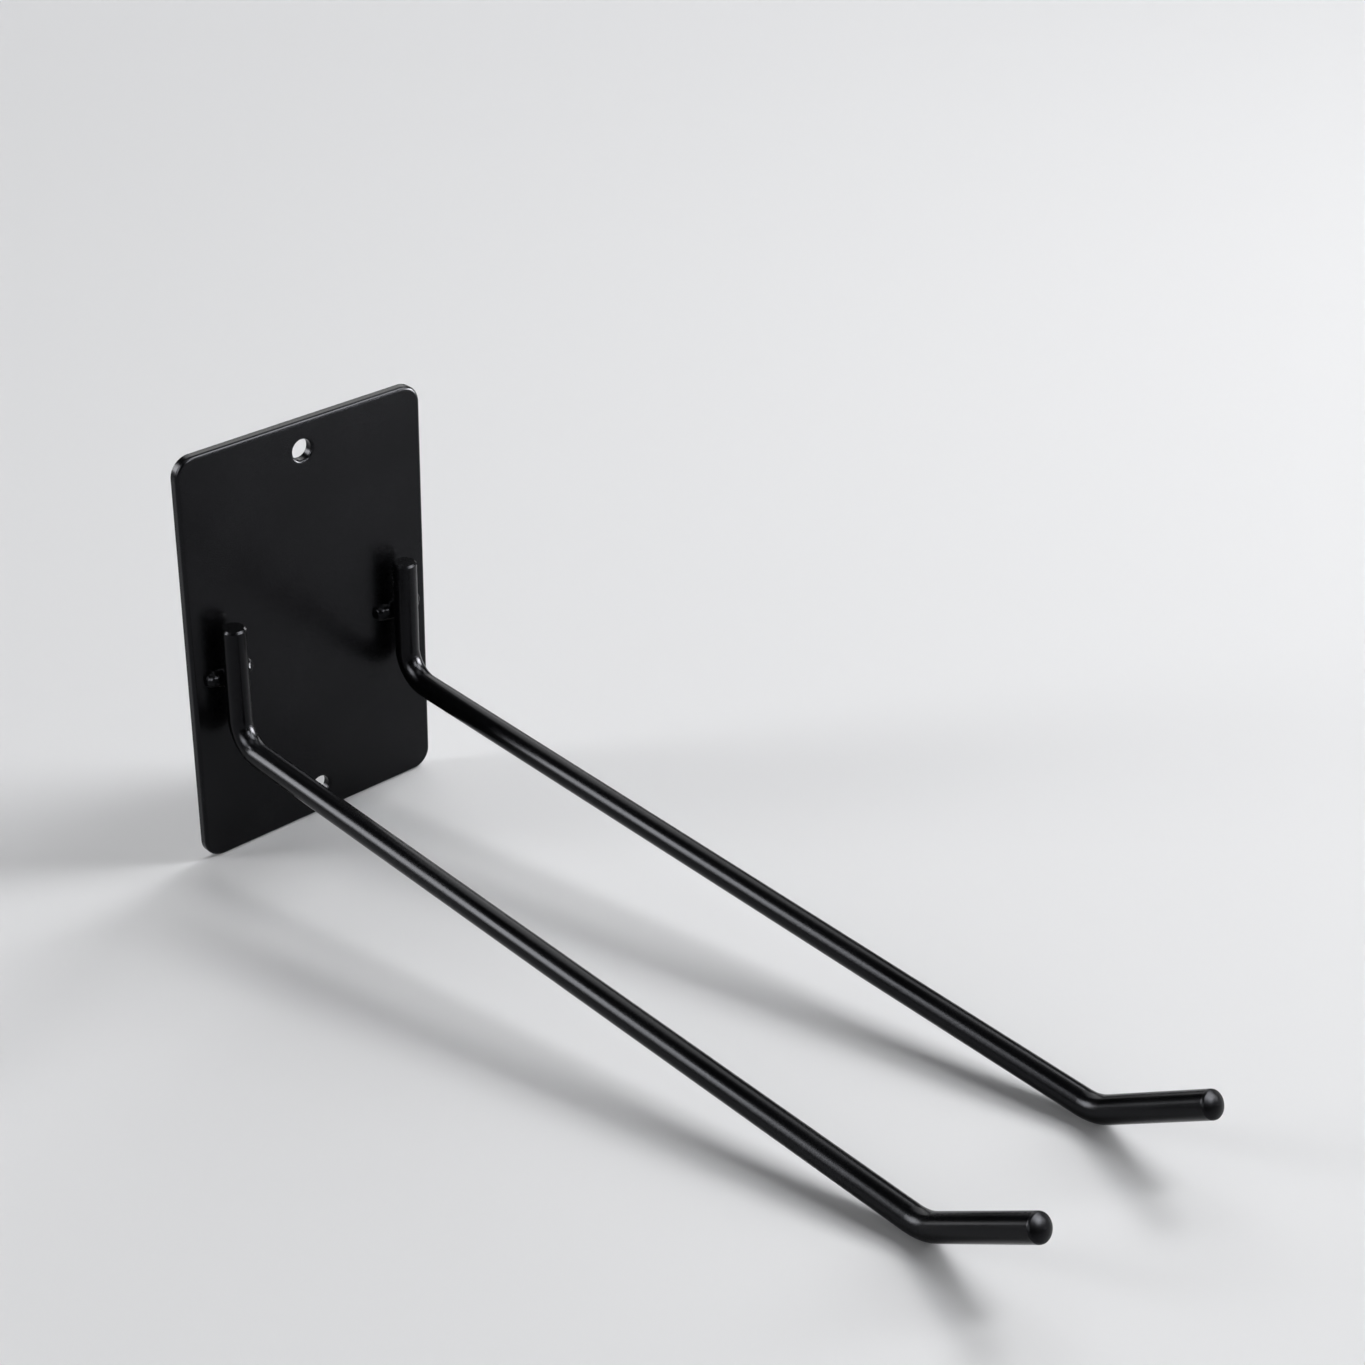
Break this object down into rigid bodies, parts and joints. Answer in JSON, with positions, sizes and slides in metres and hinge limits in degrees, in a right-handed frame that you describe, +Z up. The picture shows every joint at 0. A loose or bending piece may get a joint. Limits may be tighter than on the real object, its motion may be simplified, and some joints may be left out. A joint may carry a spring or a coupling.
{
  "type": "garage hook",
  "caption": "Wall hook: a flat rectangular back plate with screw holes and a pair of long round wire prongs with raised tips, for hanging tools and garden gear side by side.",
  "frame": {"origin": "centre of the back plate's back face, in the plane of the wall and midway between the screw holes", "axes": "+Z up the wall, +Y into the wall, +X to the right as seen from the room; the prongs reach out along -Y"},
  "size_m": [0.07, 0.2595, 0.11],
  "materials": {
    "plate_coat": "satin",
    "wire_coat": "satin",
    "weld_coat": "satin"
  },
  "bodies": {
    "root": {"back_plate": "plate_coat", "left_prong": "wire_coat", "right_prong": "wire_coat", "left_weld": "weld_coat", "right_weld": "weld_coat"}
  },
  "joints": []
}
